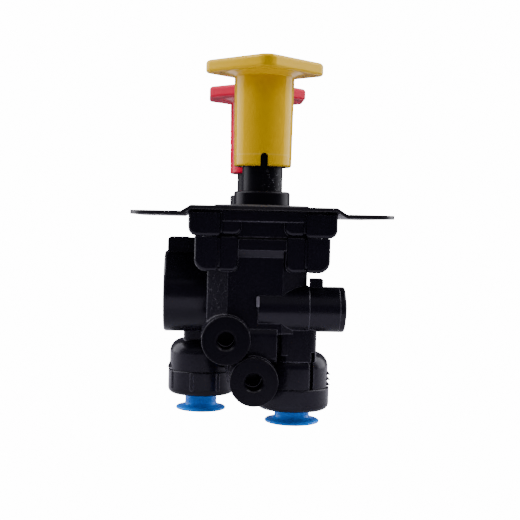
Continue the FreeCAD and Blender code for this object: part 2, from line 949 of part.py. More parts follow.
rib_on_top(
    size.key_left, size.key_right, size.check_z, size.key_top, size.check_y, size.key_width,
    size.key_round, size.key_round / 3,
)

# The tripper's cylinder, thicker at its root, with the lug on top of it
turn_in(
    housing, "Revolution", "XY_Plane", (0, size.tripper_y, size.tripper_z),
    [
        (size.tripper_start, 0),
        (size.tripper_mouth, 0),
        (size.tripper_mouth, size.tripper_radius),
        (size.tripper_root_end, size.tripper_radius),
        (size.tripper_root_end, size.tripper_root_radius),
        (size.tripper_start, size.tripper_root_radius),
    ],
    "H_Axis",
)
rib_on_top(
    size.lug_start, size.lug_end, size.tripper_z, size.lug_top, size.tripper_y, size.lug_width,
    size.key_round / 3, size.key_round / 2,
)

# The web under the column, and the rounded shoulder in front of it
block(
    housing, "Additive", (size.web_left, size.web_front, size.web_bottom),
    (size.web_right, size.web_back, size.column_bottom + size.joint_overlap),
)
shoulder = draw_on(housing, "YZ_Plane", size.shoulder_left)
outline(shoulder, [
    (size.shoulder_front, size.shoulder_bottom, size.shoulder_round / 2),
    (size.web_front + size.shoulder_depth, size.shoulder_bottom),
    (size.web_front + size.shoulder_depth, size.shoulder_top),
    (size.shoulder_front, size.shoulder_top, size.shoulder_round),
])
raise_up(housing, shoulder, size.shoulder_right - size.shoulder_left)

# The two downward port housings on their necks, and the exhaust boss
ports = {
    "left": (size.left_port_x, size.left_port_y, size.left_port_bottom, size.left_port_top),
    "right": (size.right_port_x, size.right_port_y, size.right_port_bottom, size.right_port_top),
}
necks = {
    "left": (size.left_port_x, size.left_neck_radius, as_length(0), size.check_z),
    "right": (
        size.right_port_x + size.right_neck_shift, size.right_neck_radius, size.right_neck_reach, size.tripper_z
    ),
}
for side, (port_x, port_y, port_bottom, port_top) in ports.items():
    turn_in(
        housing, "Revolution", "XZ_Plane", (port_x, port_y, port_bottom),
        [
            (0, 0),
            (size.port_radius, 0),
            (size.port_radius, port_top - port_bottom, size.port_dome),
            (0, port_top - port_bottom),
        ],
    )
    neck_x, neck_radius, reach, neck_top = necks[side]
    neck_low = port_top - size.port_dome / 2
    drawing = draw_on(housing, "XY_Plane", neck_low)
    rectangle(
        drawing, neck_x - neck_radius, neck_x + neck_radius, port_y - neck_radius - reach, port_y + neck_radius,
        size.neck_corner,
    )
    raise_up(housing, drawing, neck_top - neck_low)
# Moulded teeth beside the ports: one wide tooth on the left, three narrow ones on the right
for side, outward, length, count in (
    ("left", -1, size.left_catch_length, 1), ("right", 1, size.right_catch_length, 3)
):
    port_x, port_y, port_bottom, port_top = ports[side]
    wall_x = port_x + size.port_radius * outward
    tip_x = wall_x + size.catch_height * outward
    root_x = wall_x - size.catch_height * 2 * outward
    catch = draw_on(housing, "XZ_Plane", -port_y - size.catch_width / 2)
    for number in range(count):
        tooth_low = port_bottom + size.catch_low + length * number * 1.1
        outline(catch, [
            (root_x, tooth_low),
            (tip_x, tooth_low),
            (wall_x - size.catch_height / 2 * outward, tooth_low + length),
            (root_x, tooth_low + length),
        ])
    raise_up(housing, catch, size.catch_width)
cylinder(
    housing, "Additive", size.exhaust_radius, (size.exhaust_x, size.exhaust_y, size.exhaust_bottom), "up",
    size.column_bottom - size.exhaust_bottom + size.joint_overlap,
)

# The two front bosses
front_ports = {
    "upper": (size.upper_port_x, size.upper_port_z, size.upper_port_face, size.upper_port_root),
    "lower": (size.lower_port_x, size.lower_port_z, size.lower_port_face, size.lower_port_root),
}
for port_x, port_z, face, root in front_ports.values():
    mouth = face + size.front_collet_out
    cylinder(housing, "Additive", size.front_boss_radius, (port_x, root, port_z), "front", root - mouth)

# Chambers, bores and cavities
chambers = draw_on(housing, "XY_Plane", body_top)
for axis_y in knob_axes.values():
    circle(chambers, 0, axis_y, size.chamber_radius)
cut_down(housing, chambers, body_top - size.chamber_floor)
gasket_seat = draw_on(housing, "XY_Plane", size.cover_bottom)
seat_x = gasket_x + size.running_gap
seat_y = gasket_y + size.running_gap
rectangle(gasket_seat, -seat_x, seat_x, -seat_y, seat_y)
cut_down(housing, gasket_seat, size.gasket_thickness)
screw_holes = draw_on(housing, "XY_Plane", size.cover_bottom)
for x, y in screw_places:
    circle(screw_holes, x, y, size.screw_radius + size.running_gap)
cut_down(housing, screw_holes, size.cover_bottom - raised_top + size.screw_length + 1)
clip_start = size.check_face + size.clip_setback
clip_end = clip_start + size.clip_wire
check_seat = clip_end + size.check_cap_height
cap_bore = size.check_cap_radius + size.running_gap
turn_in(
    housing, "Groove", "XY_Plane", (0, size.check_y, size.check_z),
    [
        (size.check_face - 1, 0),
        (size.check_bore_end, 0),
        (size.check_bore_end, size.check_bore_radius),
        (check_seat, size.check_bore_radius),
        (check_seat, cap_bore),
        (clip_end, cap_bore),
        (clip_end, cap_bore + size.clip_depth),
        (clip_start, cap_bore + size.clip_depth),
        (clip_start, cap_bore),
        (size.check_face - 1, cap_bore),
    ],
    "H_Axis",
)
cylinder(
    housing, "Subtractive", size.tripper_bore_radius,
    (size.tripper_bore_start, size.tripper_y, size.tripper_z), "right",
    size.tripper_mouth - size.tripper_bore_start,
)


def stepped_bore(steps, sink):
    """The outline of a bore that narrows in steps of (radius, depth), starting outside its mouth."""
    corners = [(0, -sink), (steps[0][0], -sink)]
    depth = as_length(0)
    for number, (radius, length) in enumerate(steps):
        depth = depth + length
        corners.append((radius, depth))
        if number + 1 < len(steps):
            corners.append((steps[number + 1][0], depth))
    corners.append((0, depth))
    return corners


tube_port_bore = stepped_bore([
    (size.port_cavity_radius, size.port_cavity_depth),
    (size.tube_radius + size.tube_seal_wire * 2, size.port_seal_depth),
    (size.tube_radius, size.tube_seat_depth),
    (size.port_passage_radius, size.tube_seat_depth),
], as_length(1))
for port_x, port_y, port_bottom, port_top in ports.values():
    turn_in(housing, "Groove", "XZ_Plane", (port_x, port_y, port_bottom), tube_port_bore)
# Room beside the lower front boss for the right port's cap
cylinder(
    housing, "Subtractive", size.cap_radius + size.cap_clearance,
    (size.right_port_x, size.right_port_y, size.right_port_bottom), "down", size.right_cap_height,
)
small_port_bore = stepped_bore([
    (size.front_cavity_radius, size.front_cavity_depth),
    (size.small_tube_radius + size.front_seal_wire * 2, size.front_seal_depth),
    (size.small_tube_radius, size.front_seat_depth),
], as_length(1))
for port_x, port_z, face, root in front_ports.values():
    turn_in(housing, "Groove", "XY_Plane", (port_x, face + size.front_collet_out, port_z), small_port_bore)
turn_in(
    housing, "Groove", "XZ_Plane", (size.exhaust_x, size.exhaust_y, size.exhaust_bottom),
    stepped_bore([
        (size.exhaust_cavity_radius, size.exhaust_cavity_depth),
        (size.exhaust_passage_radius, size.exhaust_passage_depth - size.exhaust_cavity_depth),
    ], as_length(1)),
)

# Slots between the lobes of the right port's housing
slot = draw_on(housing, "XY_Plane", size.right_port_bottom)
bind(slot, "AttachmentOffset.Base.x", size.right_port_x)
bind(slot, "AttachmentOffset.Base.y", size.right_port_y)
bind(slot, "AttachmentOffset.Rotation.Angle", size.port_slot_turn)
rectangle(
    slot, -size.port_slot_width / 2, size.port_slot_width / 2,
    -size.port_radius - 1, -size.port_radius + size.port_slot_depth,
)
slot_cut = cut_down(housing, slot, size.right_port_top - size.right_port_bottom + 1, flipped=True)
slots_around = new_feature(housing, "PolarPattern", "slots")
slots_around.Originals = [slot_cut]
slots_around.Axis = (slot, ["N_Axis"])
slots_around.Angle = 360
slots_around.Occurrences = 4
housing.Tip = slots_around


# Knobs: hollow mouldings with a wide flange, pinned on their stems

def knob(name, axis_y, height, flange, corners, corner_radius):
    """One knob: a drafted skirt under a flange of the given outline, open below for its stem."""
    body = new_piece(name, (0, axis_y, size.knob_bottom))
    underside = height - flange
    skirt_bottom = size.skirt_radius - size.skirt_draft
    drawing = draw_on(body, "XZ_Plane")
    outline(drawing, [
        (0, 0),
        (skirt_bottom, 0, size.knob_edge / 2),
        (size.skirt_radius, underside - size.flange_gusset_drop),
        (size.flange_gusset_radius, underside),
        (size.flange_gusset_radius, underside + 1),
        (0, underside + 1),
    ])
    spin(body, drawing)
    drawing = draw_on(body, "XY_Plane", underside)
    outline(drawing, [(across, up, corner_radius) for across, up in corners])
    raise_up(body, drawing, flange)
    reach = max(abs(as_length(across).value) for across, up in corners)
    round_over(body, size.knob_edge, lambda edge: lies_at(edge, height, -reach, reach, -reach, reach))
    round_over(body, size.knob_edge * 0.7, lambda edge: lies_at(
        edge, underside, -reach, reach, -reach, reach
    ) and not is_circle(edge, 2, underside, size.flange_gusset_radius))
    stem_hole = size.stem_radius + size.running_gap
    cylinder(body, "Subtractive", stem_hole, (0, 0, 0), "up", height - size.knob_web - flange / 2)
    cylinder(body, "Subtractive", size.skirt_mouth_radius, (0, 0, 0), "up", size.skirt_mouth_depth)
    drawing = draw_on(body, "XZ_Plane", size.skirt_radius + 1)
    long_side = size.notch_height - size.notch_width / 2
    block(
        body, "Subtractive", (-size.notch_width / 2, -size.skirt_radius - 1, 0),
        (size.notch_width / 2, -size.stem_radius, long_side),
    )
    circle(drawing, 0, long_side, size.notch_width / 2)
    cut_down(body, drawing, size.skirt_radius + 1 - size.stem_radius)
    cylinder(
        body, "Subtractive", size.pin_radius, (-size.skirt_radius - 1, 0, size.pin_above_skirt), "right",
        size.skirt_radius * 2 + 2,
    )
    return body


diamond = size.yellow_half_side * math.sqrt(2)
knob(
    "yellow_knob", yellow_y, size.yellow_height, size.yellow_flange,
    [(diamond, 0), (0, diamond), (-diamond, 0), (0, -diamond)], size.yellow_corner,
)
half_flats = size.red_across_flats / 2
short = half_flats * math.tan(math.radians(22.5))
knob(
    "red_knob", red_y, size.red_height, size.red_flange,
    [
        (half_flats, -short), (half_flats, short), (short, half_flats), (-short, half_flats),
        (-half_flats, short), (-half_flats, -short), (-short, -half_flats), (short, -half_flats),
    ],
    size.red_corner,
)

knob_names = {"park": "yellow_knob", "supply": "red_knob"}
knob_heights = {
    "park": size.yellow_height - size.yellow_flange / 2,
    "supply": size.red_height - size.red_flange / 2,
}
guide_bottom = size.cover_bottom + size.seat_gap
spool_top = body_top - size.seat_gap
spool_low = spool_top - size.spool_height
seal_bore = size.stem_radius + size.seal_gap + size.seal_wire * 2

for side, axis_y in knob_axes.items():
    # Roll pin across the skirt and the stem
    pin_z = size.knob_bottom + size.pin_above_skirt
    pin_radius = size.pin_radius - size.seat_gap
    turned(
        f"{knob_names[side]}_pin",
        [(0, 0), (pin_radius, 0, pin_radius / 4), (pin_radius, size.pin_length, pin_radius / 4),
         (0, size.pin_length)],
        (-size.pin_length / 2, axis_y, pin_z), "right",
    )

    # Plunger: the black stem, with a tail that carries the spool
    stem_top = size.knob_bottom + knob_heights[side] - size.knob_web - size.seat_gap
    tail_low = spool_low
    plunger = turned(
        f"{side}_plunger",
        [
            (0, tail_low),
            (size.tail_radius, tail_low),
            (size.tail_radius, spool_top + size.seat_gap),
            (size.stem_radius, spool_top + size.seat_gap, size.stem_bevel / 2),
            (size.stem_radius, stem_top, size.stem_bevel),
            (0, stem_top),
        ],
        (0, axis_y, 0),
    )
    cylinder(
        plunger, "Subtractive", size.pin_radius, (-size.stem_radius - 1, 0, pin_z), "right",
        size.stem_radius * 2 + 2,
    )

    # Guide: the collar on the plate, with its sleeve in the cover and a groove for the stem's seal
    groove_low = pad_top + size.guide_head_height / 2 - size.seal_wire - size.running_gap
    groove_high = groove_low + size.seal_wire * 2 + size.running_gap * 2
    hole = size.stem_radius + size.running_gap
    turned(
        f"{side}_guide",
        [
            (hole, guide_bottom),
            (size.guide_body_radius, guide_bottom, size.guide_edge / 2),
            (size.guide_body_radius, pad_top + size.seat_gap),
            (size.guide_head_radius, pad_top + size.seat_gap),
            (size.guide_head_radius, pad_top + size.guide_head_height, size.guide_edge),
            (hole, pad_top + size.guide_head_height, size.guide_edge / 3),
            (hole, groove_high),
            (seal_bore, groove_high),
            (seal_bore, groove_low),
            (hole, groove_low),
        ],
        (0, axis_y, 0),
    )
    round_seal(
        f"{side}_stem_seal", size.stem_radius + size.seal_gap + size.seal_wire, size.seal_wire,
        [(groove_low + groove_high) / 2], (0, axis_y, 0),
    )

    # Spool with two seal grooves, and the spigot that centres the spring
    groove_floor = size.chamber_radius - size.seal_gap - size.seal_wire * 2
    first_groove = spool_low + size.spool_land
    second_groove = spool_top - size.spool_land - size.spool_groove
    bore = size.tail_radius + size.seat_gap
    turned(
        f"{side}_spool",
        [
            (bore, spool_low - size.spigot_length),
            (size.spigot_radius + bore / 2, spool_low - size.spigot_length, size.stem_bevel / 3),
            (size.spigot_radius + bore / 2, spool_low),
            (size.spool_radius, spool_low),
            (size.spool_radius, first_groove),
            (groove_floor, first_groove),
            (groove_floor, first_groove + size.spool_groove),
            (size.spool_radius, first_groove + size.spool_groove),
            (size.spool_radius, second_groove),
            (groove_floor, second_groove),
            (groove_floor, second_groove + size.spool_groove),
            (size.spool_radius, second_groove + size.spool_groove),
            (size.spool_radius, spool_top),
            (bore, spool_top),
        ],
        (0, axis_y, 0),
    )
    round_seal(
        f"{side}_spool_seals", size.chamber_radius - size.seal_gap - size.seal_wire, size.seal_wire,
        [first_groove + size.spool_groove / 2, second_groove + size.spool_groove / 2], (0, axis_y, 0),
    )
    coil_spring(
        f"{side}_spring", size.spring_radius, size.spring_wire, size.spring_turns,
        spool_low - size.chamber_floor - size.seat_gap * 2, (0, axis_y, size.chamber_floor + size.seat_gap),
    )


# Double check valve: shuttle, end cap, its seal and its retaining ring, along -X

check_axis = (size.check_y, size.check_z)
cap_inner = size.check_face + size.clip_setback + size.clip_wire + size.check_cap_height
cap_outer_gap = size.clip_setback + size.clip_wire + size.seat_gap
cap_height = size.check_cap_height - size.seat_gap * 2
cap_groove = size.check_cap_radius + size.running_gap - size.seal_gap - size.seal_wire * 2
cap_groove_low = cap_height / 2 - size.seal_wire - size.running_gap
cap_groove_high = cap_groove_low + size.seal_wire * 2 + size.running_gap * 2
turned(
    "check_cap",
    [
        (0, 0),
        (size.check_cap_radius, 0),
        (size.check_cap_radius, cap_groove_low),
        (cap_groove, cap_groove_low),
        (cap_groove, cap_groove_high),
        (size.check_cap_radius, cap_groove_high),
        (size.check_cap_radius, cap_height, size.check_edge / 2),
        (size.check_cap_radius / 2, cap_height),
        (size.check_cap_radius / 2, cap_height - size.check_cap_dimple),
        (0, cap_height - size.check_cap_dimple),
    ],
    (cap_inner - size.seat_gap, *check_axis), "left",
)
round_seal(
    "check_cap_seal", cap_groove + size.seal_wire, size.seal_wire, [(cap_groove_low + cap_groove_high) / 2],
    (cap_inner - size.seat_gap, *check_axis), "left",
)
clip = new_piece(
    "check_clip", (size.check_face + size.clip_setback + size.clip_wire - size.seat_gap, *check_axis), "left"
)
drawing = draw_on(clip, "XZ_Plane")
clip_outer = size.check_cap_radius + size.clip_depth - size.running_gap
rectangle(drawing, clip_outer - size.clip_width, clip_outer, 0, size.clip_wire - size.seat_gap * 2)
spin(clip, drawing)
half_opening = size.clip_opening / 2
block(
    clip, "Subtractive", (0, -half_opening, -1), (clip_outer + 1, half_opening, size.clip_wire + 1)
)

shuttle_radius = size.check_bore_radius - size.running_gap * 2
shuttle_land = size.shuttle_length * 0.3
turned(
    "check_shuttle",
    [
        (0, 0),
        (shuttle_radius, 0, size.shuttle_edge),
        (shuttle_radius, shuttle_land),
        (size.shuttle_waist, shuttle_land),
        (size.shuttle_waist, size.shuttle_length - shuttle_land),
        (shuttle_radius, size.shuttle_length - shuttle_land),
        (shuttle_radius, size.shuttle_length, size.shuttle_edge),
        (0, size.shuttle_length),
    ],
    (cap_inner + size.seat_gap, *check_axis), "right",
)


# Tripper: piston, seal, spring and end cap, along +X

tripper_axis = (size.tripper_y, size.tripper_z)
piston_radius = size.tripper_bore_radius - size.running_gap
piston_start = size.tripper_bore_start + size.seat_gap
piston_groove = size.tripper_bore_radius - size.seal_gap - size.seal_wire * 2
groove_low = size.tripper_piston_length / 2 - size.seal_wire - size.running_gap
groove_high = groove_low + size.seal_wire * 2 + size.running_gap * 2
turned(
    "tripper_piston",
    [
        (0, 0),
        (piston_radius, 0, size.small_edge),
        (piston_radius, groove_low),
        (piston_groove, groove_low),
        (piston_groove, groove_high),
        (piston_radius, groove_high),
        (piston_radius, size.tripper_piston_length),
        (piston_radius / 2, size.tripper_piston_length),
        (piston_radius / 2, size.tripper_piston_length + size.tripper_spigot),
        (0, size.tripper_piston_length + size.tripper_spigot),
    ],
    (piston_start, *tripper_axis), "right",
)
round_seal(
    "tripper_piston_seal", piston_groove + size.seal_wire, size.seal_wire, [(groove_low + groove_high) / 2],
    (piston_start, *tripper_axis), "right",
)
plug_start = size.tripper_mouth - size.tripper_plug_length
spring_start = piston_start + size.tripper_piston_length + size.seat_gap
coil_spring(
    "tripper_spring", size.tripper_spring_radius, size.tripper_spring_wire, size.tripper_spring_turns,
    plug_start - spring_start - size.seat_gap, (spring_start, *tripper_axis), "right",
)
cap_face = size.tripper_mouth + size.tripper_cap_height
turned(
    "tripper_cap",
    [
        (0, plug_start),
        (piston_radius, plug_start, size.small_edge),
        (piston_radius, size.tripper_mouth + size.seat_gap),
        (size.tripper_radius, size.tripper_mouth + size.seat_gap),
        (size.tripper_radius, cap_face - size.tripper_cap_crown, size.tripper_cap_edge),
        (size.tripper_radius * 0.55, cap_face),
        (0, cap_face),
    ],
    (0, *tripper_axis), "right",
)


# Downward ports: cap, blue collet, grab ring and tube seal, each along -Z

def tube_port(side, cap_height, out):
    """The cartridge of one 3/8 inch tube port, with its collet standing out of its cap."""
    port_x, port_y, port_bottom, port_top = ports[side]
    at = (port_x, port_y, port_bottom - size.seat_gap)
    spigot = size.port_cavity_radius - size.running_gap
    lip_bore = size.collet_lip_radius + size.running_gap * 2
    cap = turned(
        f"{side}_port_cap",
        [
            (size.cap_mouth_radius, cap_height, size.cap_mouth_round),
            (size.cap_mouth_radius, cap_height - size.cap_mouth_height),
            (lip_bore, cap_height - size.cap_mouth_height),
            (lip_bore, -size.cap_spigot_length),
            (spigot, -size.cap_spigot_length),
            (spigot, 0),
            (size.cap_radius, 0, size.small_edge),
            (size.cap_radius, cap_height, size.cap_round),
        ],
        at, "down",
    )
    flange_top = cap_height + out
    lip_low = cap_height - size.cap_mouth_height - size.seat_gap + out - size.left_collet_out
    turned(
        f"{side}_port_collet",
        [
            (size.tube_radius, lip_low - size.collet_lip_height),
            (size.collet_lip_radius, lip_low - size.collet_lip_height, size.collet_lip_round),
            (size.collet_lip_radius, lip_low),
            (size.collet_neck_radius, lip_low),
            (size.collet_neck_radius, flange_top),
            (size.collet_flange_radius - size.collet_flange_slope, flange_top),
            (size.collet_flange_radius, flange_top + size.collet_rim, 0.3),
            (size.collet_neck_radius + 1, flange_top + size.collet_flange_height),
            (size.tube_radius, flange_top + size.collet_flange_height, 0.6),
        ],
        at, "down",
    )
    grab = turned(
        f"{side}_port_grab_ring",
        [
            (size.tube_radius + size.running_gap, -size.grab_cone),
            (size.port_cavity_radius - size.running_gap, 0),
            (size.port_cavity_radius - size.running_gap, size.grab_thickness),
            (size.tube_radius + size.running_gap, size.grab_thickness - size.grab_cone),
        ],
        (port_x, port_y, port_bottom + size.cap_spigot_length + size.grab_thickness * 2), "down",
    )
    first = block(
        grab, "Subtractive", (size.tube_radius - 0.5, -size.grab_slot / 2, as_length(-2)),
        (size.port_cavity_radius - 1.5, size.grab_slot / 2, as_length(2)),
    )
    teeth = new_feature(grab, "PolarPattern", "teeth")
    teeth.Originals = [first]
    teeth.Axis = (grab.Origin.OriginFeatures[2], [""])
    teeth.Angle = 360
    teeth.Occurrences = 8
    grab.Tip = teeth
    seal_z = port_bottom + size.port_cavity_depth + size.port_seal_depth - size.tube_seal_wire
    round_seal(
        f"{side}_port_seal", size.tube_radius + size.running_gap + size.tube_seal_wire,
        size.tube_seal_wire - size.running_gap, [0], (port_x, port_y, seal_z - size.seat_gap),
    )


    return cap


def ribs_around(cap, cap_height):
    """Eight grip ribs on the outside of a port's cap."""
    rib = draw_on(cap, "XY_Plane", size.cap_rib)
    bind(rib, "AttachmentOffset.Rotation.Angle", size.cap_rib_turn)
    rectangle(
        rib, -size.cap_rib_width / 2, size.cap_rib_width / 2, size.cap_radius - 1, size.cap_radius + size.cap_rib
    )
    first = raise_up(cap, rib, cap_height - size.cap_round - size.cap_rib)
    ribs = new_feature(cap, "PolarPattern", "ribs")
    ribs.Originals = [first]
    ribs.Axis = (rib, ["N_Axis"])
    ribs.Angle = 360
    ribs.Occurrences = 8
    cap.Tip = ribs


left_cap = tube_port("left", size.left_cap_height, size.left_collet_out)
ribs_around(left_cap, size.left_cap_height)
tube_port("right", size.right_cap_height, size.right_collet_out)


# Front ports: black collet, retaining sleeve, grab ring and tube seal, each along -Y

def small_port(side, port_x, port_z, face):
    """The cartridge of one 1/4 inch tube port, its collet nearly flush with the boss."""
    mouth = face + size.front_collet_out
    at = (port_x, mouth, port_z)
    neck = size.front_collet_radius
    turned(
        f"{side}_port_collet",
        [
            (size.small_tube_radius, -size.front_collet_length),
            (size.front_lip_radius, -size.front_collet_length, 0.3),
            (size.front_lip_radius, size.front_lip_height - size.front_collet_length),
            (neck, size.front_lip_height - size.front_collet_length),
            (neck, size.front_collet_out - size.front_flange_height),
            (size.front_flange_radius, size.front_collet_out - size.front_flange_height),
            (size.front_flange_radius, size.front_collet_out, size.small_edge),
            (size.small_tube_radius + size.front_chamfer, size.front_collet_out),
            (size.small_tube_radius, size.front_collet_out - size.front_chamfer),
        ],
        at, "front",
    )
    turned(
        f"{side}_port_sleeve",
        [
            (neck + size.running_gap, -size.front_sleeve_length),
            (size.front_cavity_radius - size.running_gap, -size.front_sleeve_length),
            (size.front_cavity_radius - size.running_gap, -size.front_collet_travel - size.front_sleeve_gap),
            (neck + size.running_gap, -size.front_collet_travel - size.front_sleeve_gap),
        ],
        at, "front",
    )
    ring_at = (port_x, mouth + size.front_cavity_depth - size.grab_cone, port_z)
    turned(
        f"{side}_port_grab_ring",
        [
            (size.small_tube_radius + size.running_gap, -size.grab_cone / 2),
            (size.front_cavity_radius - size.running_gap, 0),
            (size.front_cavity_radius - size.running_gap, size.grab_thickness),
            (size.small_tube_radius + size.running_gap, size.grab_thickness - size.grab_cone / 2),
        ],
        ring_at, "front",
    )
    seal_y = mouth + size.front_cavity_depth + size.front_seal_depth - size.front_seal_wire
    round_seal(
        f"{side}_port_seal", size.small_tube_radius + size.running_gap + size.front_seal_wire,
        size.front_seal_wire - size.running_gap, [0], (port_x, seal_y - size.seat_gap, port_z), "front",
    )


small_port("upper", size.upper_port_x, size.upper_port_z, size.upper_port_face)
small_port("lower", size.lower_port_x, size.lower_port_z, size.lower_port_face)


# Exhaust port: a rubber flap on its button, behind a slotted snap-in cover

exhaust_at = (size.exhaust_x, size.exhaust_y, size.exhaust_bottom)
cavity_roof = size.exhaust_cavity_depth
turned(
    "exhaust_diaphragm",
    [
        (0, cavity_roof - size.exhaust_cover_height),
        (size.exhaust_button_radius, cavity_roof - size.exhaust_cover_height),
        (size.exhaust_button_radius, cavity_roof - size.flap_thickness - size.seat_gap),
        (size.flap_radius, cavity_roof - size.flap_thickness - size.seat_gap, size.small_edge),
        (size.flap_radius, cavity_roof - size.seat_gap, 0.3),
        (0, cavity_roof - size.seat_gap),
    ],
    exhaust_at,
)
cover_inner = size.exhaust_cavity_radius - size.exhaust_wall
button_top = size.exhaust_cover_height + size.exhaust_button_step
vent = turned(
    "exhaust_cover",
    [
        (0, 0),
        (size.exhaust_cavity_radius - size.running_gap, 0, 0.5),
        (size.exhaust_cavity_radius - size.running_gap, size.exhaust_cover_height - size.seat_gap),
        (cover_inner, size.exhaust_cover_height - size.seat_gap),
        (cover_inner, size.exhaust_floor),
        (size.exhaust_button_radius, size.exhaust_floor),
        (size.exhaust_button_radius, button_top),
        (0, button_top),
    ],
    exhaust_at,
)
opening = draw_on(vent, "XY_Plane", 0)
for count in (-1, 1):
    long_hole(
        opening, as_length(0), size.exhaust_cavity_radius * 0.42 * count, size.exhaust_cavity_radius * 1.1,
        size.exhaust_slot_width,
    )
cut_down(vent, opening, size.exhaust_floor + size.running_gap * 2, flipped=True)


# Check every object, then write one file for each piece

doc.recompute()
for thing in doc.Objects:
    if "Invalid" in thing.State or "Error" in thing.State:
        raise ValueError(f"{thing.Label} failed: {thing.State}")
os.makedirs("parts", exist_ok=True)
for piece in pieces:
    if piece.Shape.isNull() or not piece.Shape.isValid():
        raise ValueError(f"{piece.Label} has no valid shape")
    piece.Shape.exportStep(f"parts/{piece.Label}.step")
    print(f"{piece.Label}: {len(piece.Shape.Solids)} solids, {piece.Shape.Volume:.0f} mm3")
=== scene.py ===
import math

import bmesh
import bpy
from mathutils import Matrix, Vector


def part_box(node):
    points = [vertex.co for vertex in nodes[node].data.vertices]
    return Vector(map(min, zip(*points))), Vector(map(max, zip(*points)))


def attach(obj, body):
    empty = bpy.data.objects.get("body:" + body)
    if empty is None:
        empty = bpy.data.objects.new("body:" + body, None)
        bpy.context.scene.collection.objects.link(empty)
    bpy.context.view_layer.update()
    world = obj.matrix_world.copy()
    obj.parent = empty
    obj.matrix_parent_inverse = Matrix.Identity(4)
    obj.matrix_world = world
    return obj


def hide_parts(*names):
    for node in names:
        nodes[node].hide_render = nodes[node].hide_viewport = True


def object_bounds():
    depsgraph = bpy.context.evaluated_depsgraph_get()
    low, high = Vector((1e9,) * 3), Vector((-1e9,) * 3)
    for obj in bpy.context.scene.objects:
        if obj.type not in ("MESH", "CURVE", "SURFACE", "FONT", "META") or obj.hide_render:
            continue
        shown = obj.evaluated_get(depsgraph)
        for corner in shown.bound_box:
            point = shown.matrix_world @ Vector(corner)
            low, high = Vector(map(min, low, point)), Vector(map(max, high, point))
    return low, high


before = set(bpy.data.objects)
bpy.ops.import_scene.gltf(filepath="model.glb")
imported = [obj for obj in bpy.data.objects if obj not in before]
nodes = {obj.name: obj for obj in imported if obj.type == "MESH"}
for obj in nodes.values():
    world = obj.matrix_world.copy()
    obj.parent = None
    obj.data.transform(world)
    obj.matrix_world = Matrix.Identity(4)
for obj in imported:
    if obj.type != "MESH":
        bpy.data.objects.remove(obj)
cad_box = [list(corner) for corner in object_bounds()]
scene = bpy.context.scene

# Studio
# The valve stands on a plain pale table before an overexposed white wall, which only the camera sees.
# A soft light above, two at the sides, two high at the sides and a faint wide one in front light it.
# The camera looks level with the mounting plate, from the yellow knob's side. Lengths are in metres.

camera_data = bpy.data.cameras.new("camera")
camera_data.sensor_width = 36.0
camera_data.lens = 72.93
camera_data.clip_start = 0.01
camera = bpy.data.objects.new("camera", camera_data)
camera.location = (-0.02115, -0.4414, -0.0040)
camera.rotation_euler = [math.radians(turn) for turn in (88.005, -1.340, -2.889)]
scene.collection.objects.link(camera)
scene.camera = camera


def add_node(tree, kind, inputs=None, **settings):
    """A shader node with its settings and its unlinked inputs."""
    made = tree.nodes.new(kind)
    for name, value in settings.items():
        setattr(made, name, value)
    for name, value in (inputs or {}).items():
        made.inputs[name].default_value = value
    return made


def wire(tree, *joins):
    """Join shader nodes: each join gives a node and its output, then the next node and its input."""
    for source, giving, target, taking in joins:
        tree.links.new(source.outputs[giving], target.inputs[taking])


def new_material(name):
    """An empty material, with its node tree and its shader."""
    material = bpy.data.materials.new(name)
    material.use_nodes = True
    return material, material.node_tree, material.node_tree.nodes["Principled BSDF"]


def new_piece(name, shape, material, smooth=False):
    """Turn a finished shape into an object of one material."""
    mesh = bpy.data.meshes.new(name)
    shape.to_mesh(mesh)
    shape.free()
    if smooth:
        mesh.polygons.foreach_set("use_smooth", [True] * len(mesh.polygons))
    mesh.materials.append(material)
    piece = bpy.data.objects.new(name, mesh)
    scene.collection.objects.link(piece)
    return piece


overexposure = 15.0
table_reach = 0.3
table_middle = 0.1
gap_under_valve = 0.0002

table_paint, table_tree, matt = new_material("table_paint")
matt.inputs["Base Color"].default_value = (0.80, 0.78, 0.86, 1)
matt.inputs["Roughness"].default_value = 0.9
matt.inputs["Specular IOR Level"].default_value = 0.1
overexposed = add_node(table_tree, "ShaderNodeEmission", {"Strength": overexposure})
seen_by = add_node(table_tree, "ShaderNodeLightPath")
table_choice = add_node(table_tree, "ShaderNodeMixShader")
wire(
    table_tree,
    (seen_by, "Is Camera Ray", table_choice, "Fac"),
    (matt, "BSDF", table_choice, 1),
    (overexposed, "Emission", table_choice, 2),
    (table_choice, "Shader", table_tree.nodes["Material Output"], "Surface"),
)
table_top = bmesh.new()
bmesh.ops.create_grid(table_top, x_segments=1, y_segments=1, size=table_reach)
bmesh.ops.translate(
    table_top, verts=table_top.verts, vec=(0, table_middle, cad_box[0][2] - gap_under_valve)
)
table = new_piece("table", table_top, table_paint)


def soft_light(name, power, size, place, colour=(1, 1, 1)):
    """A rectangular lamp that shines from its place towards the valve's middle."""
    lamp = bpy.data.lights.new(name, "AREA")
    lamp.shape = "RECTANGLE"
    lamp.energy = power
    lamp.size, lamp.size_y = size
    lamp.color = colour
    holder = bpy.data.objects.new(name, lamp)
    towards_valve = Vector((0, 0, 0)) - Vector(place)
    holder.location = place
    holder.rotation_euler = towards_valve.to_track_quat("-Z", "Y").to_euler()
    scene.collection.objects.link(holder)


